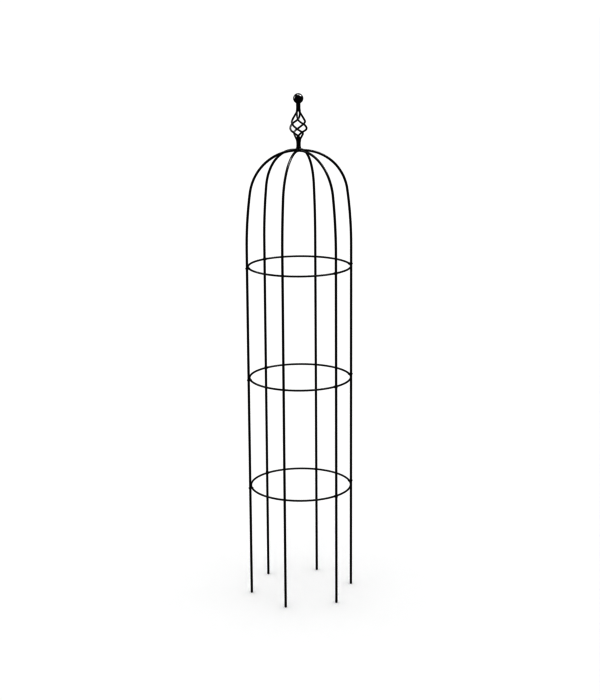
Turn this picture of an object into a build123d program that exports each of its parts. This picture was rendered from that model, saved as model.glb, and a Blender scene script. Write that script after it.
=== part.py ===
from build123d import *

import os
from math import cos, radians, sin

# Garden obelisk: six round tube legs stand in a circle, three wire rings brace them from inside,
# and the legs bend over in a dome to a small hub that carries a basket-twist finial and a ball.
# Millimetres, +Z up. The origin is on the ground at the centre of the six feet, and one leg
# stands on the +X axis.

# ---------------------------------------------------------------- driving sizes

leg_count = 6
leg_circle = 392.0  # diameter of the circle through the leg axes
tube_diameter = 8.0
tube_wall = 0.8

ring_count = 3
ring_spacing = 423.0  # ground to the lowest ring, and from ring to ring
ring_wire = 6.0

crown_above_top_ring = 426.5  # top ring to the axis of the arms at the hub
dome_rise = 360.0  # height in which an arm bends from upright to level
crown_turn = 82.0  # degrees from level where the crown's arc gives way to the wide shoulder arc
arm_tail = 135.5  # straight tube of an arm below its bend

spigot_length = 32.0
spigot_clearance = 0.05  # on the radius
spigot_lead = 0.4  # chamfer on the spigot's tip
swage_length = 3.0  # cone inside the tube where it narrows to the spigot
tube_end_edge = 0.3  # chamfer on the outside of a tube's two ends

plug_head = 3.5  # height of the plug below the tube
plug_stem = 12.0
plug_edge = 2.2  # rounding of the plug's lower edge

screw_diameter = 3.0
screw_hole_clearance = 0.1  # on the radius
screw_head_diameter = 5.7
screw_head_height = 1.65
screw_head_rounding = 1.2
screw_key = 2.0  # hexagon socket, across flats
screw_key_depth = 1.0
screw_tip = 1.1  # screw showing past the nut
nut_flats = 5.5
nut_height = 2.4
nut_edge = 0.3

eye_diameter = 9.0  # flattened eye in the ring's wire at each leg
eye_thickness = 4.5
eye_seat = 0.4  # depth of the saddle that the leg sits in
eye_relief = 1.0  # room around the eye on its flattened side

hub_diameter = 21.0
hub_edge = 0.6  # chamfer on the hub's lower rim
stud_diameter = 6.0
stud_gap = 0.5  # stud's end above the hub's lower face
arm_level_length = 1.5  # level tube at the hub, before the bend starts

collar_base_diameter = 26.0
collar_base_edge = 1.0
collar_height = 8.5
collar_socket_depth = 4.0
collar_lip = 1.0  # wall around the socket's mouth

basket_wire = 6.0
bundle_gap = 0.15  # between neighbouring wires where they run side by side
finial_turn = -12.0  # degrees the finial is screwed round from the +X axis
basket_wires = 4
station_turn = 45.0  # degrees that a wire turns from one station to the next
basket_low = 21.5  # height above the collar's base where the wires start to part
basket_high = 149.5  # and where they come together again
# Height above the collar's base and distance from the axis, at the stations between those.
basket_belly = (
    (35.5, 8.3), (47.5, 12.2), (60.5, 21.6), (73.0, 29.0), (91.0, 29.4), (107.5, 20.8), (133.5, 7.8),
)
basket_hold = 0.8  # how firmly a wire's curve keeps to upright at its two ends
core_clearance = 0.7  # between the turned core and the wires that are bent round it
core_top = 44.0  # height of the core above the collar's base
core_cap = 1.5  # rounding of the core's top

ball_diameter = 36.0
ball_socket_depth = 6.0  # above the ball's lowest point
finial_height = 200.5  # collar's base to the top of the ball

# ---------------------------------------------------------------- derived places

leg_radius = leg_circle / 2
tube_radius = tube_diameter / 2
bore_radius = tube_radius - tube_wall
spigot_radius = bore_radius - spigot_clearance
spigot_bore = spigot_radius - tube_wall

leg_angles = [360 / leg_count * k for k in range(leg_count)]
ring_heights = [ring_spacing * (k + 1) for k in range(ring_count)]
crown_height = ring_heights[-1] + crown_above_top_ring
bend_start = crown_height - dome_rise
upper_joint = bend_start - arm_tail
lower_joint = upper_joint / 2  # the two straight tubes are the same length

ring_radius = leg_radius - tube_radius - ring_wire / 2
eye_outer = leg_radius - tube_radius + eye_seat
eye_inner = leg_radius - tube_radius - eye_thickness
screw_hole = screw_diameter / 2 + screw_hole_clearance
head_seat = leg_radius + tube_radius
screw_length = head_seat - eye_inner + nut_height + screw_tip
through = 4 * tube_diameter  # length of a cutting tool that passes right through a leg and a ring

hub_radius = hub_diameter / 2
collar_base = crown_height + tube_radius
bundle_radius = (basket_wire + bundle_gap) / 2**0.5
bundle_outer = bundle_radius + basket_wire / 2
collar_floor = collar_base + collar_height - collar_socket_depth
ball_centre = collar_base + finial_height - ball_diameter / 2
ball_floor = ball_centre - ball_diameter / 2 + ball_socket_depth

# An arm's run and rise fix the radii of its two arcs: the crown's arc, then the wide shoulder arc.
arm_run = leg_radius - hub_radius
turn_run = sin(radians(crown_turn))
turn_drop = 1 - cos(radians(crown_turn))
spread = turn_run - turn_drop
crown_radius = (arm_run * (1 - turn_drop) - dome_rise * (1 - turn_run)) / spread
shoulder_radius = (dome_rise * turn_run - arm_run * turn_drop) / spread


def upright(angle):
    """Plane through the object's axis and one leg: its x points outwards and its y points up."""
    outwards = (cos(radians(angle)), sin(radians(angle)), 0)
    return Plane(origin=(0, 0, 0), x_dir=outwards, z_dir=(outwards[1], -outwards[0], 0))


def outwards_plane(angle, radius, height):
    """Plane that faces straight out from the object's axis."""
    outwards = (cos(radians(angle)), sin(radians(angle)), 0)
    origin = (radius * outwards[0], radius * outwards[1], height)
    return Plane(origin=origin, z_dir=outwards)


def leg_axis(angle):
    return Axis((leg_radius * cos(radians(angle)), leg_radius * sin(radians(angle)), 0), (0, 0, 1))


def finish(piece, name):
    piece.part.label = name
    export_step(piece.part, f"parts/{name}.step")


os.makedirs("parts", exist_ok=True)

# ---------------------------------------------------------------- straight leg tubes


def straight_tube(angle, low, high, name):
    """A tube with an open lower end and a swaged spigot on top, drilled where it meets a ring."""
    tip = high + spigot_length
    with BuildPart() as tube:
        with BuildSketch(upright(angle)):
            with BuildLine():
                Polyline(
                    (leg_radius + bore_radius, low),
                    (leg_radius + tube_radius - tube_end_edge, low),
                    (leg_radius + tube_radius, low + tube_end_edge),
                    (leg_radius + tube_radius, high - tube_end_edge),
                    (leg_radius + tube_radius - tube_end_edge, high),
                    (leg_radius + spigot_radius, high),
                    (leg_radius + spigot_radius, tip - spigot_lead),
                    (leg_radius + spigot_radius - spigot_lead, tip),
                    (leg_radius + spigot_bore, tip),
                    (leg_radius + spigot_bore, high),
                    (leg_radius + bore_radius, high - swage_length),
                    close=True,
                )
            make_face()
        revolve(axis=leg_axis(angle))
        for height in ring_heights:
            if low < height < tip:
                with Locations(outwards_plane(angle, leg_radius, height)):
                    Cylinder(screw_hole, through, mode=Mode.SUBTRACT)
    finish(tube, name)


for number, angle in enumerate(leg_angles, start=1):
    straight_tube(angle, plug_head, lower_joint, f"leg_{number}_lower_tube")
    straight_tube(angle, lower_joint, upper_joint, f"leg_{number}_middle_tube")

# ---------------------------------------------------------------- dome arms

for number, angle in enumerate(leg_angles, start=1):
    with BuildPart() as dome_arm:
        with BuildLine(upright(angle)) as arm_route:
            tail = Line((leg_radius, upper_joint), (leg_radius, bend_start))
            shoulder = JernArc(tail @ 1, tail % 1, shoulder_radius, 90 - crown_turn)
            crown = JernArc(shoulder @ 1, shoulder % 1, crown_radius, crown_turn)
            Line(crown @ 1, crown @ 1 + (crown % 1) * arm_level_length)
        arm_path = arm_route.wire()
        with BuildSketch(Plane(origin=arm_path @ 0, z_dir=arm_path % 0)):
            Circle(tube_radius)
            Circle(bore_radius, mode=Mode.SUBTRACT)
        sweep(path=arm_path)
        with Locations((0, 0, crown_height)):
            Cylinder(hub_radius, 2 * tube_diameter, mode=Mode.SUBTRACT)
        for height in ring_heights:
            if height > upper_joint:
                with Locations(outwards_plane(angle, leg_radius, height)):
                    Cylinder(screw_hole, through, mode=Mode.SUBTRACT)
    finish(dome_arm, f"leg_{number}_dome_arm")

# ---------------------------------------------------------------- foot plugs

with BuildPart() as foot_plug:
    with BuildSketch():
        Circle(tube_radius)
    extrude(amount=plug_head)
    fillet(foot_plug.edges().group_by(Axis.Z)[0], radius=plug_edge)
    with Locations((0, 0, plug_head + plug_stem / 2)):
        Cylinder(spigot_radius, plug_stem)
    chamfer(foot_plug.edges().group_by(Axis.Z)[-1], length=spigot_lead)

with BuildPart() as foot_plugs:
    with PolarLocations(leg_radius, leg_count):
        add(foot_plug.part)
finish(foot_plugs, "foot_plugs")

# ---------------------------------------------------------------- rings


def brace_ring(height, name):
    """A wire ring with a flattened, drilled eye pressed against each leg."""
    with BuildPart() as ring:
        with BuildSketch(Plane.XZ):
            with Locations((ring_radius, height)):
                Circle(ring_wire / 2)
        revolve(axis=Axis.Z)
        for angle in leg_angles:
            with Locations(outwards_plane(angle, (eye_inner + eye_outer) / 2, height)):
                Cylinder(eye_diameter / 2, eye_outer - eye_inner)
            with Locations(outwards_plane(angle, eye_inner - ring_wire / 2, height)):
                Cylinder(eye_diameter / 2 + eye_relief, ring_wire, mode=Mode.SUBTRACT)
            with Locations(outwards_plane(angle, leg_radius, height)):
                Cylinder(screw_hole, through, mode=Mode.SUBTRACT)
        with Locations((0, 0, height)):
            with PolarLocations(leg_radius, leg_count):
                Cylinder(tube_radius, through, mode=Mode.SUBTRACT)
    finish(ring, name)


ring_names = ("lower", "middle", "upper")
for height, ring_name in zip(ring_heights, ring_names):
    brace_ring(height, f"{ring_name}_ring")

# ---------------------------------------------------------------- ring fasteners

with BuildPart() as screw:
    with BuildSketch():
        Circle(screw_head_diameter / 2)
    extrude(amount=screw_head_height)
    fillet(screw.edges().group_by(Axis.Z)[-1], radius=screw_head_rounding)
    with Locations((0, 0, -screw_length / 2)):
        Cylinder(screw_diameter / 2, screw_length)
    chamfer(screw.edges().group_by(Axis.Z)[0], length=nut_edge)
    with BuildSketch(Plane.XY.offset(screw_head_height)):
        RegularPolygon(screw_key / 2, 6, major_radius=False)
    extrude(amount=-screw_key_depth, mode=Mode.SUBTRACT)

with BuildPart() as nut:
    with BuildSketch():
        RegularPolygon(nut_flats / 2, 6, major_radius=False)
        Circle(screw_diameter / 2, mode=Mode.SUBTRACT)
    extrude(amount=nut_height)
    chamfer(nut.edges().filter_by(GeomType.LINE).group_by(Axis.Z)[0], length=nut_edge)

for height, ring_name in zip(ring_heights, ring_names):
    with BuildPart() as ring_screws:
        with Locations(*[outwards_plane(angle, head_seat, height) for angle in leg_angles]):
            add(screw.part)
    finish(ring_screws, f"{ring_name}_ring_screws")
    with BuildPart() as ring_nuts:
        with Locations(*[outwards_plane(angle, eye_inner - nut_height, height) for angle in leg_angles]):
            add(nut.part)
    finish(ring_nuts, f"{ring_name}_ring_nuts")

# ---------------------------------------------------------------- hub and stud

with BuildPart() as crown_hub:
    with BuildSketch(Plane.XY.offset(crown_height - tube_radius)):
        Circle(hub_radius)
        Circle(stud_diameter / 2, mode=Mode.SUBTRACT)
    extrude(amount=tube_diameter)
    chamfer(crown_hub.faces().sort_by(Axis.Z)[0].edges().sort_by(SortBy.LENGTH)[-1], length=hub_edge)
finish(crown_hub, "crown_hub")

with BuildPart() as finial_stud:
    with BuildSketch(Plane.XY.offset(crown_height - tube_radius + stud_gap)):
        Circle(stud_diameter / 2)
    extrude(amount=collar_floor - (crown_height - tube_radius + stud_gap))
finish(finial_stud, "finial_stud")

# ---------------------------------------------------------------- finial

collar_top_radius = bundle_outer + collar_lip
flare_run = collar_base_diameter / 2 - collar_top_radius
flare_rise = collar_height - collar_base_edge

with BuildPart() as finial_collar:
    with BuildSketch(Plane.XZ.shift_origin((0, 0, collar_base))):
        with BuildLine():
            flare_centre = (collar_base_diameter / 2, collar_height)
            flare = EllipticalCenterArc(flare_centre, flare_run, flare_rise, start_angle=180, arc_size=90)
            Polyline(
                flare @ 1,
                (collar_base_diameter / 2, 0),
                (stud_diameter / 2, 0),
                (stud_diameter / 2, collar_height - collar_socket_depth),
                (bundle_outer, collar_height - collar_socket_depth),
                (bundle_outer, collar_height),
                flare @ 0,
            )
        make_face()
    revolve(axis=Axis.Z)
finish(finial_collar, "finial_collar")

basket_stations = [(basket_low, bundle_radius), *basket_belly, (basket_high, bundle_radius)]

# The core stands on the stud and fills the space between the wires where they start to part. Between
# two stations a wire cuts the corner towards the axis, and where it leans out it is wider level across.
core_radius = bundle_radius - basket_wire / 2 - core_clearance
core_lean = (basket_belly[1][1] - basket_belly[0][1]) / (basket_belly[1][0] - basket_belly[0][0])
core_wall = basket_wire / 2 * (1 + core_lean**2) ** 0.5 + core_clearance
core_shoulder = basket_belly[0][1] * cos(radians(station_turn / 2)) - core_wall
core_mouth = core_shoulder + core_lean * (core_top - basket_belly[0][0])

with BuildPart() as basket_core:
    with BuildSketch(Plane.XZ.shift_origin((0, 0, collar_base))):
        with BuildLine():
            Polyline(
                (0, collar_floor - collar_base),
                (core_radius, collar_floor - collar_base),
                (core_radius, basket_low),
                (core_shoulder, basket_belly[0][0]),
                (core_mouth, core_top - core_cap),
                (core_mouth - core_cap, core_top),
                (0, core_top),
                close=True,
            )
        make_face()
    revolve(axis=Axis.Z)
finish(basket_core, "basket_core")


def basket_points(start_angle):
    """A wire's points, one at each station, that turn clockwise on the way up."""
    points = []
    for step, (rise, reach) in enumerate(basket_stations):
        angle = radians(start_angle - station_turn * step)
        points.append((reach * cos(angle), reach * sin(angle), collar_base + rise))
    return points


for number in range(1, basket_wires + 1):
    points = basket_points(finial_turn + 360 / basket_wires * number)
    with BuildPart() as strand:
        with BuildLine() as strand_route:
            Line((points[0][0], points[0][1], collar_floor), points[0])
            Spline(*points, tangents=[(0, 0, 1), (0, 0, 1)], tangent_scalars=[basket_hold, basket_hold])
            Line(points[-1], (points[-1][0], points[-1][1], ball_floor))
        strand_path = strand_route.wire()
        with BuildSketch(Plane(origin=strand_path @ 0, z_dir=strand_path % 0)):
            Circle(basket_wire / 2)
        sweep(path=strand_path)
    finish(strand, f"basket_wire_{number}")

with BuildPart() as finial_ball:
    with Locations((0, 0, ball_centre)):
        Sphere(ball_diameter / 2)
    with BuildSketch(Plane.XY.offset(ball_floor)):
        Circle(bundle_outer)
    extrude(amount=-ball_diameter, mode=Mode.SUBTRACT)
finish(finial_ball, "finial_ball")
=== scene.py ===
import math

import bpy
import numpy as np
from mathutils import Matrix, Vector


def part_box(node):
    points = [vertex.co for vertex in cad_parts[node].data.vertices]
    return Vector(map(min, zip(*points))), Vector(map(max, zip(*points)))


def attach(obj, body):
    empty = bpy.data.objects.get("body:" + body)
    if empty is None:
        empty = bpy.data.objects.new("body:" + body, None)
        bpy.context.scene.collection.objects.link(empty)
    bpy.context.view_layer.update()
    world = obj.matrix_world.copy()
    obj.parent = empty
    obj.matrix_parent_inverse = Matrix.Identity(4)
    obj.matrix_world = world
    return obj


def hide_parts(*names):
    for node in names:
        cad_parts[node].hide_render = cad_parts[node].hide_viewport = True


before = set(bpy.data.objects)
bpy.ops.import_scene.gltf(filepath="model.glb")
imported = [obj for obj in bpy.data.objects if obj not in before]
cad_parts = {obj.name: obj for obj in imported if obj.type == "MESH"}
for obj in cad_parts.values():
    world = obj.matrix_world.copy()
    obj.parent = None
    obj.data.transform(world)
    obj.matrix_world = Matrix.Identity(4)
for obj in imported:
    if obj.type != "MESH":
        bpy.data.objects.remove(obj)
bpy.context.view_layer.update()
MM = 0.001

# ---------------------------------------------------------------- sizes read from the frame

low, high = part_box("leg_1_lower_tube")
leg_reach = (low.x + high.x) / 2
tube_radius = (high.x - low.x) / 2
plug_head = low.z
leg_count = len([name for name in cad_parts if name.endswith("_dome_arm")])

low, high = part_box("crown_hub")
hub_radius = high.x
hub_low, hub_high = low.z, high.z
arm_height = (hub_low + hub_high) / 2

low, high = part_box("finial_collar")
collar_base_radius = high.x
collar_base, collar_top = low.z, high.z

low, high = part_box("finial_ball")
ball_radius = high.x
ball_centre = high.z - ball_radius

low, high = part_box("basket_wire_1")
strand_low, strand_high = low.z, high.z

# ---------------------------------------------------------------- camera

VIEW_TURN = math.radians(-12.0)  # round the object from straight in front of it
VIEW_DISTANCE = 5.954  # level distance from the object's axis
VIEW_HEIGHT = 2.472
VIEW_TILT = math.radians(14.338)  # below the horizon
VIEW_ROLL = math.radians(-0.405)
LENS = 84.78  # millimetres on a 36 mm sensor


def stand_camera():
    ahead = Vector((-math.sin(VIEW_TURN), math.cos(VIEW_TURN), 0))
    side = Vector((ahead.y, -ahead.x, 0))
    look = ahead * math.cos(VIEW_TILT) - Vector((0, 0, math.sin(VIEW_TILT)))
    rise = side.cross(look)
    right = side * math.cos(VIEW_ROLL) + rise * math.sin(VIEW_ROLL)
    up = rise * math.cos(VIEW_ROLL) - side * math.sin(VIEW_ROLL)
    turn = Matrix((right, up, -look)).transposed().to_4x4()
    camera = bpy.data.objects.new("camera", bpy.data.cameras.new("camera"))
    camera.data.lens = LENS
    camera.matrix_world = Matrix.Translation(-ahead * VIEW_DISTANCE + Vector((0, 0, VIEW_HEIGHT))) @ turn
    bpy.context.scene.collection.objects.link(camera)
    bpy.context.scene.camera = camera


stand_camera()

# ---------------------------------------------------------------- studio

FLOOR_SIZE = 80.0
FLOOR_WHITE = (0.93, 0.93, 0.93, 1)
SURROUND = 1.1  # the white room as the floor and the eye get it
SURROUND_GLOSS = 0.1  # and as a gloss surface mirrors it
TONE = 0.5  # gamma of the view


def lay_floor():
    mesh = bpy.data.meshes.new("floor")
    half = FLOOR_SIZE / 2
    corners = [(-half, -half, 0), (half, -half, 0), (half, half, 0), (-half, half, 0)]
    mesh.from_pydata(corners, [], [(0, 1, 2, 3)])
    floor = bpy.data.objects.new("floor", mesh)
    bpy.context.scene.collection.objects.link(floor)
    paper = bpy.data.materials.new("white_paper_floor")
    paper.use_nodes = True
    shader = paper.node_tree.nodes["Principled BSDF"]
    shader.inputs["Base Color"].default_value = FLOOR_WHITE
    shader.inputs["Roughness"].default_value = 0.9
    shader.inputs["Specular IOR Level"].default_value = 0.0
    mesh.materials.append(paper)
    floor.visible_glossy = False


def light_room():
    world = bpy.data.worlds.new("white_room")
    world.use_nodes = True
    nodes, links = world.node_tree.nodes, world.node_tree.links
    background = nodes["Background"]
    background.inputs["Color"].default_value = (1, 1, 1, 1)
    path = nodes.new("ShaderNodeLightPath")
    level = nodes.new("ShaderNodeMix")
    level.inputs["A"].default_value = SURROUND
    level.inputs["B"].default_value = SURROUND_GLOSS
    links.new(path.outputs["Is Glossy Ray"], level.inputs["Factor"])
    links.new(level.outputs["Result"], background.inputs["Strength"])
    bpy.context.scene.world = world
    bpy.context.scene.view_settings.view_transform = "Standard"
    bpy.context.scene.view_settings.gamma = TONE


def hang_softbox(name, turn, distance, height, aim_height, wide, tall, power):
    """A soft light that hangs at a turn from the front of the object and looks at its axis."""
    lamp = bpy.data.objects.new(name, bpy.data.lights.new(name, "AREA"))
    lamp.data.shape = "RECTANGLE"
    lamp.data.size = wide
    lamp.data.size_y = tall
    lamp.data.energy = power
    angle = VIEW_TURN + math.radians(turn)
    place = Vector((math.sin(angle) * distance, -math.cos(angle) * distance, height))
    lamp.location = place
    lamp.visible_diffuse = False
    lamp.rotation_euler = (Vector((0, 0, aim_height)) - place).to_track_quat("-Z", "Y").to_euler()
    bpy.context.scene.collection.objects.link(lamp)


lay_floor()
light_room()
hang_softbox("softbox_overhead", 160, 0.5, 4.4, 1.6, 2.4, 1.4, 90)
hang_softbox("softbox_right", 98, 1.9, 4.1, 1.8, 1.5, 1.5, 130)
hang_softbox("softbox_left", -104, 2.4, 2.6, 1.7, 0.9, 2.0, 50)

# ---------------------------------------------------------------- finishes


class Surface:
    """A material and the short words that its nodes are made with."""

    def __init__(self, name):
        self.material = bpy.data.materials.new(name)
        self.material.use_nodes = True
        self.nodes = self.material.node_tree.nodes
        self.links = self.material.node_tree.links
        self.shader = self.nodes["Principled BSDF"]
        self.place = self.nodes.new("ShaderNodeTexCoord").outputs["Object"]

    def set(self, **values):
        for name, value in values.items():
            self.shader.inputs[name.replace("_", " ")].default_value = value

    def stretched(self, scale):
        """Object coordinates drawn out along Z, for marks that run along a leg."""
        mapping = self.nodes.new("ShaderNodeMapping")
        mapping.inputs["Scale"].default_value = scale
        self.links.new(self.place, mapping.inputs["Vector"])
        return mapping.outputs["Vector"]

    def noise(self, scale, detail=2.0, roughness=0.5, vector=None):
        texture = self.nodes.new("ShaderNodeTexNoise")
        texture.inputs["Scale"].default_value = scale
        texture.inputs["Detail"].default_value = detail
        texture.inputs["Roughness"].default_value = roughness
        self.links.new(vector or self.place, texture.inputs["Vector"])
        return texture.outputs["Fac"]

    def cells(self, scale, vector=None):
        texture = self.nodes.new("ShaderNodeTexVoronoi")
        texture.inputs["Scale"].default_value = scale
        texture.feature = "SMOOTH_F1"
        texture.inputs["Smoothness"].default_value = 0.8
        self.links.new(vector or self.place, texture.inputs["Vector"])
        return texture.outputs["Distance"]

    def spread(self, value, low, high, to_low, to_high):
        change = self.nodes.new("ShaderNodeMapRange")
        for slot, number in zip(("From Min", "From Max", "To Min", "To Max"), (low, high, to_low, to_high)):
            change.inputs[slot].default_value = number
        self.links.new(value, change.inputs["Value"])
        return change.outputs["Result"]

    def calculate(self, operation, *values):
        node = self.nodes.new("ShaderNodeMath")
        node.operation = operation
        for slot, value in zip(node.inputs, values):
            if isinstance(value, (int, float)):
                slot.default_value = value
            else:
                self.links.new(value, slot)
        return node.outputs["Value"]

    def blend(self, factor, first, second):
        """One colour or the other, by a value between 0 and 1."""
        node = self.nodes.new("ShaderNodeMix")
        node.data_type = "RGBA"
        self.links.new(factor, node.inputs["Factor"])
        for slot, colour in (("A", first), ("B", second)):
            socket = [s for s in node.inputs if s.name == slot and s.type == "RGBA"][0]
            if isinstance(colour, tuple):
                socket.default_value = (*colour, 1)
            else:
                self.links.new(colour, socket)
        return [s for s in node.outputs if s.type == "RGBA"][0]

    def relief(self, *layers):
        """Bump in layers, each a height value and its depth in metres."""
        below = None
        for height, depth in layers:
            bump = self.nodes.new("ShaderNodeBump")
            bump.inputs["Distance"].default_value = depth
            self.links.new(height, bump.inputs["Height"])
            if below:
                self.links.new(below, bump.inputs["Normal"])
            below = bump.outputs["Normal"]
        self.links.new(below, self.shader.inputs["Normal"])

    def height_above_ground(self):
        split = self.nodes.new("ShaderNodeSeparateXYZ")
        self.links.new(self.place, split.inputs["Vector"])
        return split.outputs["Z"]


DUST_REACH = 0.11  # metres above the ground
DUST = (0.085, 0.075, 0.062)
SOIL_REACH = 0.003
SOIL = (0.075, 0.064, 0.05)
STEEL_RUB = (0.12, 0.118, 0.115)


def powder_coat(name, black, gloss, peel_scale, peel_depth, grain_depth, scuffs=0.35, coat=0.25):
    """Baked powder coat: faint orange peel, fine grain, uneven gloss, a few rubbed spots and ground dust."""
    surface = Surface(name)
    surface.set(IOR=1.42, Coat_Weight=coat, Coat_Roughness=0.16, Coat_IOR=1.45)
    cloud = surface.noise(38, 3, 0.55)
    peel = surface.noise(peel_scale, 2, 0.45)
    grain = surface.noise(peel_scale * 7, 3, 0.6)
    rubbed = surface.noise(1, 4, 0.65, surface.stretched((420, 420, 46)))
    patch = surface.noise(9, 2, 0.5)
    rubbed = surface.spread(rubbed, 0.66, 0.74, 0, 1)
    patch = surface.spread(patch, 0.54, 0.64, 0, scuffs)
    mark = surface.calculate("MULTIPLY", rubbed, patch)
    dust = surface.spread(surface.height_above_ground(), 0.0, DUST_REACH, 1, 0)
    specks = surface.spread(surface.noise(260, 4, 0.7), 0.46, 0.72, 0, 0.32)
    dust = surface.calculate("MULTIPLY", dust, specks)
    deep = tuple(part * 0.7 for part in black)
    worn = tuple(0.035 + part * 1.4 for part in black)
    colour = surface.blend(surface.spread(cloud, 0.35, 0.68, 0, 1), deep, black)
    colour = surface.blend(mark, colour, worn)
    colour = surface.blend(dust, colour, DUST)
    surface.links.new(colour, surface.shader.inputs["Base Color"])
    shine = surface.spread(cloud, 0.3, 0.7, gloss - 0.035, gloss + 0.045)
    shine = surface.calculate("ADD", shine, surface.spread(grain, 0.3, 0.7, -0.02, 0.03))
    shine = surface.calculate("ADD", shine, surface.calculate("MULTIPLY", mark, 0.3))
    shine = surface.calculate("ADD", shine, surface.calculate("MULTIPLY", dust, 0.5))
    surface.links.new(shine, surface.shader.inputs["Roughness"])
    surface.relief((peel, peel_depth), (grain, grain_depth), (mark, 0.00001))
    return surface.material


def moulded_plastic(name):
    """Fine spark-eroded grain with a little flow marking and soil rubbed into the lower end."""
    surface = Surface(name)
    surface.set(IOR=1.48)
    grain = surface.cells(2600)
    fine = surface.noise(5200, 3, 0.6)
    flow = surface.noise(1, 3, 0.5, surface.stretched((130, 130, 700)))
    soil = surface.spread(surface.height_above_ground(), 0.0, SOIL_REACH, 0.5, 0.06)
    soil = surface.calculate("MULTIPLY", soil, surface.spread(surface.noise(900, 4, 0.7), 0.42, 0.66, 0, 1))
    flow = surface.spread(flow, 0.35, 0.65, 0, 1)
    colour = surface.blend(flow, (0.012, 0.012, 0.012), (0.021, 0.021, 0.02))
    colour = surface.blend(soil, colour, SOIL)
    surface.links.new(colour, surface.shader.inputs["Base Color"])
    surface.links.new(surface.spread(grain, 0.1, 0.7, 0.5, 0.68), surface.shader.inputs["Roughness"])
    surface.relief((grain, 0.00004), (fine, 0.000015))
    return surface.material


def blackened_steel(name):
    """Black oxide on a machined fastener: fine turning marks, patchy tone, bright rub on the high spots."""
    surface = Surface(name)
    surface.set(Metallic=0.35, IOR=1.7)
    patch = surface.noise(900, 4, 0.6)
    turning = surface.noise(1, 2, 0.5, surface.stretched((2200, 2200, 9000)))
    rub = surface.spread(surface.noise(1600, 4, 0.7), 0.63, 0.72, 0, 0.5)
    tone = surface.spread(patch, 0.35, 0.65, 0, 1)
    colour = surface.blend(tone, (0.012, 0.012, 0.014), (0.034, 0.033, 0.034))
    colour = surface.blend(rub, colour, STEEL_RUB)
    surface.links.new(colour, surface.shader.inputs["Base Color"])
    surface.links.new(surface.spread(patch, 0.3, 0.7, 0.3, 0.46), surface.shader.inputs["Roughness"])
    surface.relief((turning, 0.00001), (patch, 0.00001))
    return surface.material


COAT_BLACK = (0.0075, 0.0075, 0.0082)
leg_coat = powder_coat("leg_powder_coat", COAT_BLACK, 0.27, 620, 0.00006, 0.000012)
ring_coat = powder_coat("ring_powder_coat", COAT_BLACK, 0.29, 700, 0.00006, 0.000012)
finial_coat = powder_coat("finial_powder_coat", COAT_BLACK, 0.22, 540, 0.00009, 0.000014, scuffs=0.2)
weld_coat = powder_coat("coated_weld", COAT_BLACK, 0.3, 900, 0.00012, 0.00002, scuffs=0.1)
ball_coat = powder_coat("ball_gloss_coat", COAT_BLACK, 0.12, 430, 0.00005, 0.000008, scuffs=0.2, coat=1.0)
fastener_steel = blackened_steel("fastener_black_oxide")
plug_plastic = moulded_plastic("plug_moulded_plastic")

SLOT_FINISH = {
    "leg_coat": leg_coat,
    "ring_coat": ring_coat,
    "finial_coat": finial_coat,
    "ball_coat": ball_coat,
    "blackened_steel": fastener_steel,
    "plug_plastic": plug_plastic,
}
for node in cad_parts.values():
    for slot in node.material_slots:
        slot.material = SLOT_FINISH[slot.material.name.split(".")[0]]

# ---------------------------------------------------------------- mesh and node tools


def mesh_object(name, points, edges=(), faces=()):
    mesh = bpy.data.meshes.new(name)
    mesh.from_pydata([tuple(point) for point in points], list(edges), list(faces))
    mesh.update()
    piece = bpy.data.objects.new(name, mesh)
    bpy.context.scene.collection.objects.link(piece)
    return piece


def turned(name, rows, around=64, place=None):
    """A turned solid. Each row is a radius and a height, going up the outside from the lower pole to the
    upper one; a radius may be a function of the angle. A row of zero radius closes to one point."""
    points, rings = [], []
    for radius, height in rows:
        if not callable(radius) and radius == 0:
            rings.append([len(points)])
            points.append(Vector((0, 0, height)))
            continue
        rings.append(list(range(len(points), len(points) + around)))
        for step in range(around):
            angle = 2 * math.pi * step / around
            reach = radius(angle) if callable(radius) else radius
            points.append(Vector((reach * math.cos(angle), reach * math.sin(angle), height)))
    faces = []
    for below, above in zip(rings, rings[1:]):
        for step in range(around):
            after = (step + 1) % around
            corners = (below[step % len(below)], below[after % len(below)],
                       above[after % len(above)], above[step % len(above)])
            faces.append(tuple(dict.fromkeys(corners)))
    if place:
        points = [place @ point for point in points]
    return mesh_object(name, points, faces=faces)


def hexagon(across_flats, limit=math.inf):
    """Radius of a hexagon at an angle, kept within a circle where its corners are cut off."""
    def radius(angle):
        turn = (angle + math.pi / 6) % (math.pi / 3) - math.pi / 6
        return min(across_flats / 2 / math.cos(turn), limit)
    return radius


def corner(radius, height, size, start, end, steps=5):
    """Rows that round an edge about a centre, from one angle to another in degrees."""
    angles = [math.radians(start + (end - start) * step / steps) for step in range(steps + 1)]
    return [(radius + size * math.cos(angle), height + size * math.sin(angle)) for angle in angles]


class Number:
    """A value inside a node tree. Arithmetic on it adds Math nodes."""

    def __init__(self, maker, socket):
        self.maker, self.socket = maker, socket

    def __add__(self, other): return self.maker.math("ADD", self, other)
    def __radd__(self, other): return self.maker.math("ADD", other, self)
    def __sub__(self, other): return self.maker.math("SUBTRACT", self, other)
    def __rsub__(self, other): return self.maker.math("SUBTRACT", other, self)
    def __mul__(self, other): return self.maker.math("MULTIPLY", self, other)
    def __rmul__(self, other): return self.maker.math("MULTIPLY", other, self)
    def __truediv__(self, other): return self.maker.math("DIVIDE", self, other)


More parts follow.
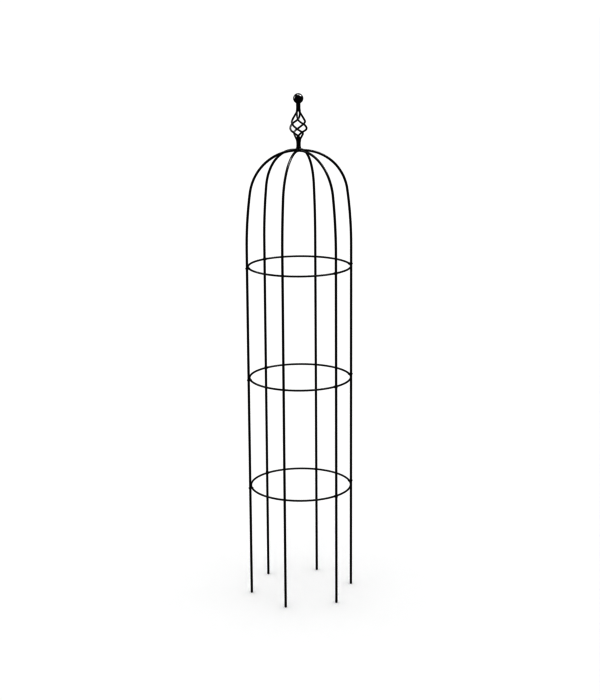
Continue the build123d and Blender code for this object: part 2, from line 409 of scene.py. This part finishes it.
class Maker:
    """A Geometry Nodes tree with named inputs, and the few nodes that this object's pieces need."""

    def __init__(self, name, *inputs):
        self.tree = bpy.data.node_groups.new(name, "GeometryNodeTree")
        self.tree.interface.new_socket("Geometry", in_out="OUTPUT", socket_type="NodeSocketGeometry")
        for kind, label in inputs:
            self.tree.interface.new_socket(label, in_out="INPUT", socket_type="NodeSocket" + kind)
        self.given = self.tree.nodes.new("NodeGroupInput").outputs

    def node(self, kind, values=None, **settings):
        node = self.tree.nodes.new(kind)
        for setting, value in settings.items():
            setattr(node, setting, value)
        for slot, value in (values or {}).items():
            self.feed(node.inputs[slot], value)
        return node

    def feed(self, socket, value):
        if isinstance(value, Number):
            self.tree.links.new(value.socket, socket)
        elif isinstance(value, bpy.types.NodeSocket):
            self.tree.links.new(value, socket)
        else:
            socket.default_value = value

    def math(self, operation, *values):
        node = self.node("ShaderNodeMath", dict(enumerate(values)), operation=operation)
        return Number(self, node.outputs[0])

    def input(self, label):
        return Number(self, self.given[label])

    def place(self):
        split = self.node("ShaderNodeSeparateXYZ")
        self.tree.links.new(self.node("GeometryNodeInputPosition").outputs[0], split.inputs[0])
        return [Number(self, socket) for socket in split.outputs]

    def vector(self, x, y, z):
        return self.node("ShaderNodeCombineXYZ", {0: x, 1: y, 2: z}).outputs[0]

    def noise(self, scale, seed):
        values = {"Scale": scale, "W": seed, "Detail": 2.0}
        texture = self.node("ShaderNodeTexNoise", values, noise_dimensions="4D")
        return Number(self, texture.outputs["Fac"])

    def moved(self, shape, place=None, offset=None):
        values = {"Geometry": shape}
        if place is not None:
            values["Position"] = place
        if offset is not None:
            values["Offset"] = offset
        return self.node("GeometryNodeSetPosition", values).outputs[0]

    def swept(self, route, radius, sides, scale=1.0, caps=True):
        ring = self.node("GeometryNodeCurvePrimitiveCircle", {"Resolution": sides, "Radius": radius})
        values = {"Curve": route, "Profile Curve": ring.outputs[0], "Scale": scale, "Fill Caps": caps}
        return self.node("GeometryNodeCurveToMesh", values).outputs[0]

    def pushed(self, shape, depth):
        """Every point moved along its normal."""
        normal = self.node("GeometryNodeInputNormal").outputs[0]
        push = self.node("ShaderNodeVectorMath", {0: normal}, operation="SCALE")
        self.feed(push.inputs["Scale"], depth)
        return self.moved(shape, offset=push.outputs[0])

    def around(self, shape, count):
        """Copies of a shape, evenly turned about the object's axis."""
        points = self.node("GeometryNodePoints", {"Count": count}).outputs[0]
        index = Number(self, self.node("GeometryNodeInputIndex").outputs[0])
        turn = self.vector(0.0, 0.0, index * (2 * math.pi) / count)
        values = {"Points": points, "Instance": shape, "Rotation": turn}
        return self.node("GeometryNodeInstanceOnPoints", values).outputs[0]

    def end(self, shape, coat, smooth=True):
        shape = self.node("GeometryNodeRealizeInstances", {"Geometry": shape}).outputs[0]
        shading = {"Geometry": shape, "Shade Smooth": smooth}
        shape = self.node("GeometryNodeSetShadeSmooth", shading).outputs[0]
        shape = self.node("GeometryNodeSetMaterial", {"Geometry": shape, "Material": coat}).outputs[0]
        self.tree.links.new(shape, self.node("NodeGroupOutput").inputs[0])
        return self.tree


def made(name, tree, values, start=None):
    """Runs a tree on a start shape and keeps what comes out as one plain mesh."""
    carrier = start or mesh_object(name + "_start", [])
    modifier = carrier.modifiers.new("make", "NODES")
    modifier.node_group = tree
    sockets = {item.name: item.identifier for item in tree.interface.items_tree if item.in_out == "INPUT"}
    for label, value in values.items():
        modifier[sockets[label]] = value
    shape = carrier.evaluated_get(bpy.context.evaluated_depsgraph_get())
    mesh = bpy.data.meshes.new_from_object(shape)
    bpy.data.objects.remove(carrier)
    mesh.name = name
    piece = bpy.data.objects.new(name, mesh)
    bpy.context.scene.collection.objects.link(piece)
    return piece


def fitted(piece, slot, *nodes):
    """Hands a finished piece to the frame."""
    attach(piece, "root")
    if nodes:
        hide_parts(*nodes)


# ---------------------------------------------------------------- node trees


def copies_tree():
    """The start shape, copied round the object's axis."""
    maker = Maker("copies_round_the_axis", ("Geometry", "Shape"), ("Int", "Count"), ("Material", "Finish"),
                  ("Bool", "Smooth"))
    shape = maker.around(maker.given["Shape"], maker.input("Count"))
    return maker.end(shape, maker.given["Finish"], maker.given["Smooth"])


RING_STEPS = 960
CROWDING = 0.72  # how much closer together the ring's steps are at the legs
OUTLINE_BLEND = 0.0012  # metres in which the round wire runs into an eye's outline
PRESS_BLEND = 0.0003  # and into its pressed face
PRESS_EASE = 0.62  # share of the pressed length where the press is full
RING_WAVES = 90.0  # unevenness, in noise cells per metre
BASKET_WAVES = 130.0
BEAD_WAVES = 240.0
BEAD_LUMPS = 700.0


def brace_ring_tree():
    """A wire bent into a ring and pressed flat, and a little wider, at each leg."""
    maker = Maker("brace_ring", ("Float", "Ring Radius"), ("Float", "Height"), ("Float", "Wire Radius"),
                  ("Int", "Legs"), ("Float", "Eye Half Height"), ("Float", "Eye Inside"),
                  ("Float", "Eye Seat"), ("Float", "Press Length"), ("Float", "Unevenness"),
                  ("Float", "Seed"), ("Material", "Finish"))
    ring, wire, legs = maker.input("Ring Radius"), maker.input("Wire Radius"), maker.input("Legs")
    circle = {"Resolution": RING_STEPS, "Radius": ring}
    path = maker.node("GeometryNodeCurvePrimitiveCircle", circle).outputs[0]
    x, y, z = maker.place()
    angle = maker.math("ARCTAN2", y, x)
    angle = angle - maker.math("SINE", angle * legs) * CROWDING / legs
    place = maker.vector(maker.math("COSINE", angle) * ring, maker.math("SINE", angle) * ring, 0.0)
    path = maker.moved(path, place)
    tube = maker.swept(path, wire, 28, caps=False)
    x, y, z = maker.place()
    angle = maker.math("ARCTAN2", y, x)
    reach = maker.math("SQRT", x * x + y * y) - ring
    half_step = maker.math("DIVIDE", math.pi, legs)
    along = maker.math("ABSOLUTE", maker.math("WRAP", angle, half_step, -1 * half_step) * ring)
    # the eye's rounded outline, seen from the side
    eye = maker.input("Eye Half Height")
    outline = maker.math("SQRT", maker.math("MAXIMUM", eye * eye - along * along, 0.0))
    outline = maker.math("SMOOTH_MAX", outline, wire, OUTLINE_BLEND)
    z = z * outline / wire
    # pressed faces: the inner one is flat, the outer one seats against the leg
    press = maker.node("ShaderNodeMapRange", interpolation_type="SMOOTHSTEP")
    maker.feed(press.inputs["Value"], along)
    maker.feed(press.inputs["From Min"], maker.input("Press Length"))
    maker.feed(press.inputs["From Max"], maker.input("Press Length") * PRESS_EASE)
    press = Number(maker, press.outputs["Result"])
    inside = -1 * wire + (wire - maker.input("Eye Inside")) * press
    reach = maker.math("SMOOTH_MAX", reach, inside, PRESS_BLEND)
    reach = reach * (1 + maker.input("Eye Seat") / wire * press * maker.math("GREATER_THAN", reach, 0.0))
    radius = ring + reach
    place = maker.vector(maker.math("COSINE", angle) * radius, maker.math("SINE", angle) * radius,
                         z + maker.input("Height"))
    shape = maker.moved(tube, place)
    wobble = (maker.noise(RING_WAVES, maker.input("Seed")) - 0.5) * maker.input("Unevenness")
    return maker.end(maker.pushed(shape, wobble), maker.given["Finish"])


def twisted_basket_tree():
    """One bent wire, forged a little uneven, swept along its route and copied round the axis."""
    maker = Maker("twisted_basket", ("Geometry", "Route"), ("Float", "Wire Radius"), ("Int", "Wires"),
                  ("Float", "Unevenness"), ("Float", "Seed"), ("Material", "Finish"))
    route = maker.node("GeometryNodeMeshToCurve", {"Mesh": maker.given["Route"]}).outputs[0]
    shape = maker.swept(route, maker.input("Wire Radius"), 32)
    hammered = (maker.noise(BASKET_WAVES, maker.input("Seed")) - 0.5) * maker.input("Unevenness")
    shape = maker.pushed(shape, hammered)
    return maker.end(maker.around(shape, maker.input("Wires")), maker.given["Finish"])


def weld_bead_tree():
    """A weld laid along a route in overlapping drops, copied round the axis."""
    maker = Maker("weld_bead", ("Geometry", "Route"), ("Float", "Bead Radius"), ("Float", "Drop Length"),
                  ("Float", "Drop Depth"), ("Int", "Copies"), ("Float", "Unevenness"), ("Float", "Seed"),
                  ("Material", "Finish"))
    route = maker.node("GeometryNodeMeshToCurve", {"Mesh": maker.given["Route"]}).outputs[0]
    length = Number(maker, maker.node("GeometryNodeSplineParameter").outputs["Length"])
    drop = maker.math("FRACT", length / maker.input("Drop Length"))
    crest = maker.math("SQRT", maker.math("MAXIMUM", 1 - drop * drop, 0.0))
    scale = 1 - maker.input("Drop Depth") * (1 - crest)
    scale = scale + (maker.noise(BEAD_WAVES, maker.input("Seed")) - 0.5) * 0.5
    shape = maker.swept(route, maker.input("Bead Radius"), 12, scale)
    lumps = (maker.noise(BEAD_LUMPS, maker.input("Seed")) - 0.5) * maker.input("Unevenness")
    shape = maker.pushed(shape, lumps)
    return maker.end(maker.around(shape, maker.input("Copies")), maker.given["Finish"])


COPIES = copies_tree()
BRACE_RING = brace_ring_tree()
TWISTED_BASKET = twisted_basket_tree()
WELD_BEAD = weld_bead_tree()


def copied(name, shape, finish, smooth=True):
    values = {"Count": leg_count, "Finish": finish, "Smooth": smooth}
    return made(name, COPIES, values, shape)


def route_object(points, closed=False):
    edges = [(step, step + 1) for step in range(len(points) - 1)]
    if closed:
        edges.append((len(points) - 1, 0))
    return mesh_object("route", points, edges)


DROP_LENGTH = 1.5 * MM
DROP_DEPTH = 0.34
BEAD_UNEVENNESS = 0.1 * MM


def weld(name, points, bead, copies, seed):
    values = {"Bead Radius": bead, "Drop Length": DROP_LENGTH, "Drop Depth": DROP_DEPTH, "Copies": copies,
              "Unevenness": BEAD_UNEVENNESS, "Seed": seed, "Finish": weld_coat}
    fitted(made(name, WELD_BEAD, values, route_object(points, closed=True)), "finial_coat")


def smoothed(piece, finish):
    for polygon in piece.data.polygons:
        polygon.use_smooth = True
    piece.data.materials.append(finish)
    return piece


# ---------------------------------------------------------------- rings

WIRE_RADIUS = 3.0 * MM
EYE_INSIDE = 1.5 * MM  # of the wire's inner half, what is left at a pressed eye
EYE_SEAT = 0.4 * MM
PRESS_LENGTH = 8.5 * MM
RING_UNEVENNESS = 0.12 * MM
RING_SLACK = 0.02 * MM  # keeps the wire's high spots inside its size

for seed, level in enumerate(("lower", "middle", "upper")):
    low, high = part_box(f"{level}_ring")
    values = {
        "Ring Radius": high.y - WIRE_RADIUS - RING_SLACK, "Height": (low.z + high.z) / 2,
        "Wire Radius": WIRE_RADIUS, "Legs": leg_count, "Eye Half Height": (high.z - low.z) / 2,
        "Eye Inside": EYE_INSIDE, "Eye Seat": EYE_SEAT, "Press Length": PRESS_LENGTH,
        "Unevenness": RING_UNEVENNESS, "Seed": float(seed), "Finish": ring_coat,
    }
    fitted(made(f"{level}_brace_ring", BRACE_RING, values), "ring_coat", f"{level}_ring")

# ---------------------------------------------------------------- screws and nuts

SCREW_RADIUS = 1.5 * MM
SCREW_TIP = 1.1 * MM  # past the nut
THREAD_START = 0.15 * MM
THREAD_TURNS = 5
THREAD_SHAPE = (0.1, 0.5, 1.0, 0.5)  # depth through one pitch
HEAD_CORNER = 0.2 * MM
HEAD_FLAT = 0.35 * MM  # around the socket, and the straight side below the dome
KEY_LEAD_WIDTH, KEY_LEAD_DEPTH = 0.24 * MM, 0.12 * MM
KEY_CONE = 0.3 * MM
THREAD_PITCH = 0.5 * MM
THREAD_DEPTH = 0.3 * MM
KEY_FLATS = 2.0 * MM
KEY_DEPTH = 1.0 * MM
NUT_FLATS = 5.5 * MM
NUT_HEIGHT = 2.4 * MM
NUT_DISH = 0.35 * MM
NUT_FACE, NUT_WASHER = 0.94, 0.98  # of half the flats: the flat face, and where the turned corners begin
NUT_TURNED = 0.45 * MM  # height of the turned corners


def outward(radius, height):
    """Stands a piece made along +Z so that it points out from the axis at the first leg."""
    return Matrix.Translation((radius, 0, height)) @ Matrix.Rotation(math.pi / 2, 4, "Y")


def screw_rows(head_radius, head_height, tip):
    """Thread from the tip up to the head's seat, then the domed head and its hexagon socket."""
    rows = [(0, tip), (SCREW_RADIUS - THREAD_DEPTH, tip)]
    points = len(THREAD_SHAPE)
    for step in range(THREAD_TURNS * points):
        height = tip + THREAD_START + THREAD_PITCH * step / points
        rows.append((SCREW_RADIUS - THREAD_DEPTH * THREAD_SHAPE[step % points], height))
    rows += [(SCREW_RADIUS, rows[-1][1] + 0.1 * MM), (SCREW_RADIUS, 0.0)]
    rows += corner(head_radius - HEAD_CORNER, HEAD_CORNER, HEAD_CORNER, -90, 0, 4)
    flat = KEY_FLATS / 2 + HEAD_FLAT
    crown = head_radius - flat
    for step in range(1, 9):
        angle = math.pi / 2 * step / 8
        rise = (head_height - HEAD_FLAT) * math.sin(angle)
        rows.append((flat + crown * math.cos(angle), HEAD_FLAT + rise))
    rows.append((hexagon(KEY_FLATS + KEY_LEAD_WIDTH), head_height))
    rows.append((hexagon(KEY_FLATS), head_height - KEY_LEAD_DEPTH))
    rows.append((hexagon(KEY_FLATS), head_height - KEY_DEPTH))
    rows.append((0, head_height - KEY_DEPTH - KEY_CONE))
    return rows


def nut_rows():
    """A hexagon nut with turned corners at both ends and a dished bore, threaded on the screw."""
    half = NUT_FLATS / 2
    widest = half / math.cos(math.pi / 6)
    bore = SCREW_RADIUS
    rows = [(bore, NUT_DISH), (bore + NUT_DISH, 0.0), (half * NUT_FACE, 0.0)]
    for step in range(5):
        share = step / 4
        limit = half * NUT_WASHER + (widest - half * NUT_WASHER) * share
        rows.append((hexagon(NUT_FLATS, limit), NUT_TURNED * share))
    rows += [(radius, NUT_HEIGHT - height) for radius, height in reversed(rows)]
    return rows


for level in ("lower", "middle", "upper"):
    low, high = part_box(f"{level}_ring_screws")
    _, nut_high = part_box(f"{level}_ring_nuts")
    height = (low.z + high.z) / 2
    seat = leg_reach + tube_radius
    head_radius = (high.z - low.z) / 2
    nut_inside = nut_high.x - NUT_HEIGHT
    tip = nut_inside - SCREW_TIP - seat
    screw = turned("screw", screw_rows(head_radius, high.x - seat, tip), 48, outward(seat, height))
    screws = copied(f"{level}_ring_button_screws", screw, fastener_steel)
    fitted(screws, "blackened_steel", f"{level}_ring_screws")
    nut = turned("nut", nut_rows(), 48, outward(nut_inside, height))
    nuts = copied(f"{level}_ring_hex_nuts", nut, fastener_steel, False)
    fitted(nuts, "blackened_steel", f"{level}_ring_nuts")

# ---------------------------------------------------------------- foot plugs

STEM_RADIUS = 3.15 * MM
BARB = 0.04 * MM
BARB_RUN, BARB_BACK = 0.4 * MM, 0.02 * MM
PLUG_DOME = 2.3 * MM


def plug_rows(radius, head, top):
    """A domed plug with a gate dimple below, a witness line, a shoulder under the tube and a barbed stem."""
    rows = [(0, 0.18 * MM), (0.55 * MM, 0.18 * MM), (0.8 * MM, 0.02 * MM), (1.0 * MM, 0.0)]
    flat = radius - PLUG_DOME
    for step in range(1, 13):
        angle = math.pi / 2 * step / 12
        rows.append((flat + PLUG_DOME * math.sin(angle), PLUG_DOME * (1 - math.cos(angle))))
    line = PLUG_DOME + 0.35 * MM
    rows += [(radius, line - 0.08 * MM), (radius - 0.05 * MM, line), (radius, line + 0.08 * MM)]
    rows += corner(radius - 0.2 * MM, head - 0.2 * MM, 0.2 * MM, 0, 90, 4)
    rows.append((STEM_RADIUS, head))
    barbs = 4
    for step in range(barbs):
        height = head + (top - head) * (step + 1) / (barbs + 1)
        rows.append((STEM_RADIUS - BARB, height - BARB_RUN))
        rows += [(STEM_RADIUS, height), (STEM_RADIUS - BARB, height + BARB_BACK)]
    rows += corner(STEM_RADIUS - BARB - 0.5 * MM, top - 0.5 * MM, 0.5 * MM, 0, 90, 4)
    rows.append((0, top))
    return rows


low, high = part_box("foot_plugs")
plug_place = Matrix.Translation((leg_reach, 0, 0))
plug = turned("plug", plug_rows(tube_radius, plug_head, high.z), 48, plug_place)
fitted(copied("domed_foot_plugs", plug, plug_plastic), "plug_plastic", "foot_plugs")

# ---------------------------------------------------------------- hub and its welds

HUB_EDGE = 0.9 * MM
STUD_RADIUS = 3.0 * MM
BORE_LEAD = 0.3 * MM

rows = [(STUD_RADIUS, hub_low + 0.5 * MM), (STUD_RADIUS, hub_low + BORE_LEAD)]
rows.append((STUD_RADIUS + BORE_LEAD, hub_low))
rows += corner(hub_radius - HUB_EDGE, hub_low + HUB_EDGE, HUB_EDGE, -90, 0)
rows += corner(hub_radius - HUB_EDGE, hub_high - HUB_EDGE, HUB_EDGE, 0, 90)
rows.append((STUD_RADIUS, hub_high))
rows.append(rows[0])
fitted(smoothed(turned("turned_crown_hub", rows, 96), finial_coat), "finial_coat", "crown_hub")

SADDLE_STEPS = 72
SADDLE_TRIM = 0.9 * MM  # the weld's top stays this far below the tube's crown
saddle = []
for step in range(SADDLE_STEPS):
    angle = 2 * math.pi * step / SADDLE_STEPS
    across, rise = tube_radius * math.cos(angle), tube_radius * math.sin(angle)
    reach = math.sqrt(hub_radius**2 - across**2)
    rise = min(rise, tube_radius - SADDLE_TRIM)
    saddle.append((reach + 0.1 * MM, across, arm_height + rise))
weld("arm_welds", saddle, 0.85 * MM, leg_count, 3.0)

# ---------------------------------------------------------------- finial collar

BUNDLE_GAP = 0.15 * MM
bundle_reach = (2 * WIRE_RADIUS + BUNDLE_GAP) / math.sqrt(2)
bundle_outer = bundle_reach + WIRE_RADIUS
LIP = 1.0 * MM
BASE_EDGE = 1.0 * MM
flare_run = collar_base_radius - bundle_outer - LIP
flare_rise = collar_top - collar_base - BASE_EDGE
rows = [(STUD_RADIUS, collar_base)]
rows += corner(collar_base_radius - 0.35 * MM, collar_base + 0.35 * MM, 0.35 * MM, -90, 0, 4)
rows.append((collar_base_radius, collar_base + BASE_EDGE - 0.1 * MM))
for step in range(1, 25):
    angle = math.pi / 2 * step / 24
    reach = collar_base_radius - flare_run * math.sin(angle)
    rows.append((reach, collar_top - flare_rise * math.cos(angle) - 0.2 * MM * step / 24))
rows += corner(bundle_outer + LIP - 0.3 * MM, collar_top - 0.3 * MM, 0.3 * MM, 20, 160, 6)
rows += [(bundle_outer, collar_top - 0.4 * MM), (bundle_outer, strand_low), (STUD_RADIUS, strand_low)]
rows.append(rows[0])
fitted(smoothed(turned("flared_finial_collar", rows, 96), finial_coat), "finial_coat", "finial_collar")

# ---------------------------------------------------------------- twisted basket

BASKET_TURN = math.radians(-12)
WIRE_COUNT = 4
EIGHTH = math.pi / 4
# height above the collar's base and distance from the axis, at each eighth of a turn, in millimetres
BELLY = ((35.5, 8.3), (47.5, 12.2), (60.5, 21.6), (73.0, 29.0), (91.0, 29.4), (107.5, 20.8), (133.5, 7.8))
BELLY_LOW, BELLY_HIGH = 21.5, 149.5
END_RISE = 14.0  # millimetres upright from one station to the next, at the wire's two ends
STATION_STEPS = 16


def smooth_through(values, slope_low, slope_high, steps):
    """A cubic spline through evenly spaced values, with given slopes at its two ends."""
    count = len(values)
    matrix = np.zeros((count, count))
    right = np.zeros(count)
    matrix[0, 0] = matrix[-1, -1] = 1
    right[0], right[-1] = slope_low, slope_high
    for row in range(1, count - 1):
        matrix[row, row - 1:row + 2] = 1, 4, 1
        right[row] = 3 * (values[row + 1] - values[row - 1])
    slope = np.linalg.solve(matrix, right)
    out = []
    for row in range(count - 1):
        a, b, va, vb = values[row], values[row + 1], slope[row], slope[row + 1]
        for step in range(steps):
            t = step / steps
            out.append((2 * t**3 - 3 * t**2 + 1) * a + (t**3 - 2 * t**2 + t) * va
                       + (3 * t**2 - 2 * t**3) * b + (t**3 - t**2) * vb)
    out.append(values[-1])
    return out


def basket_route():
    """The route of one wire: straight in the collar, one whole turn out and in, straight in the ball."""
    stations = [(BELLY_LOW, bundle_reach / MM), *BELLY, (BELLY_HIGH, bundle_reach / MM)]
    places = [(reach * math.cos(-EIGHTH * step), reach * math.sin(-EIGHTH * step), rise)
              for step, (rise, reach) in enumerate(stations)]
    xs, ys, zs = (smooth_through([place[axis] for place in places], end, end, STATION_STEPS)
                  for axis, end in ((0, 0.0), (1, 0.0), (2, END_RISE)))
    middle = [Vector((x, y, z)) * MM + Vector((0, 0, collar_base)) for x, y, z in zip(xs, ys, zs)]
    low_heights = np.linspace(strand_low, middle[0].z, 10)[:-1]
    high_heights = np.linspace(middle[-1].z, strand_high, 14)[1:]
    start = [Vector((middle[0].x, middle[0].y, height)) for height in low_heights]
    end = [Vector((middle[-1].x, middle[-1].y, height)) for height in high_heights]
    turn = Matrix.Rotation(BASKET_TURN, 3, "Z")
    return [turn @ point for point in start + middle + end]


values = {"Wire Radius": WIRE_RADIUS, "Wires": WIRE_COUNT, "Unevenness": 0.35 * MM, "Seed": 5.0,
          "Finish": finial_coat}
basket = made("twisted_basket", TWISTED_BASKET, values, route_object(basket_route()))
fitted(basket, "finial_coat", *[f"basket_wire_{number}" for number in range(1, WIRE_COUNT + 1)])


OUTLINE_STEPS = 144
GROOVE_FILL = 0.8  # of the bundle's outer radius


def bundle_outline(height, clear):
    """The outline of the four wires side by side, with the grooves between them filled to a radius."""
    points = []
    for step in range(OUTLINE_STEPS):
        angle = 2 * math.pi * step / OUTLINE_STEPS
        turn = (angle + EIGHTH) % (2 * EIGHTH) - EIGHTH
        reach = bundle_reach * math.cos(turn)
        reach += math.sqrt(max(WIRE_RADIUS**2 - (bundle_reach * math.sin(turn))**2, 0))
        reach = max(reach, bundle_outer * GROOVE_FILL) + clear
        angle += BASKET_TURN
        points.append((reach * math.cos(angle), reach * math.sin(angle), height))
    return points


weld("collar_weld", bundle_outline(collar_top, 0.1 * MM), 0.8 * MM, 1, 8.0)

# ---------------------------------------------------------------- ball

BALL_SOCKET = 6.0 * MM
BALL_STEPS = 72

mouth_angle = math.asin(bundle_outer / ball_radius)
socket_floor = ball_centre - ball_radius + BALL_SOCKET
rows = [(0, socket_floor), (bundle_outer, socket_floor)]
for step in range(BALL_STEPS):
    angle = mouth_angle + (math.pi - mouth_angle) * step / BALL_STEPS
    rows.append((ball_radius * math.sin(angle), ball_centre - ball_radius * math.cos(angle)))
rows.append((0, ball_centre + ball_radius))
fitted(smoothed(turned("finial_ball_turned", rows, 128), ball_coat), "ball_coat", "finial_ball")
ball_mouth = ball_centre - ball_radius * math.cos(mouth_angle)
weld("ball_weld", bundle_outline(ball_mouth - 0.1 * MM, 0.1 * MM), 0.9 * MM, 1, 12.0)
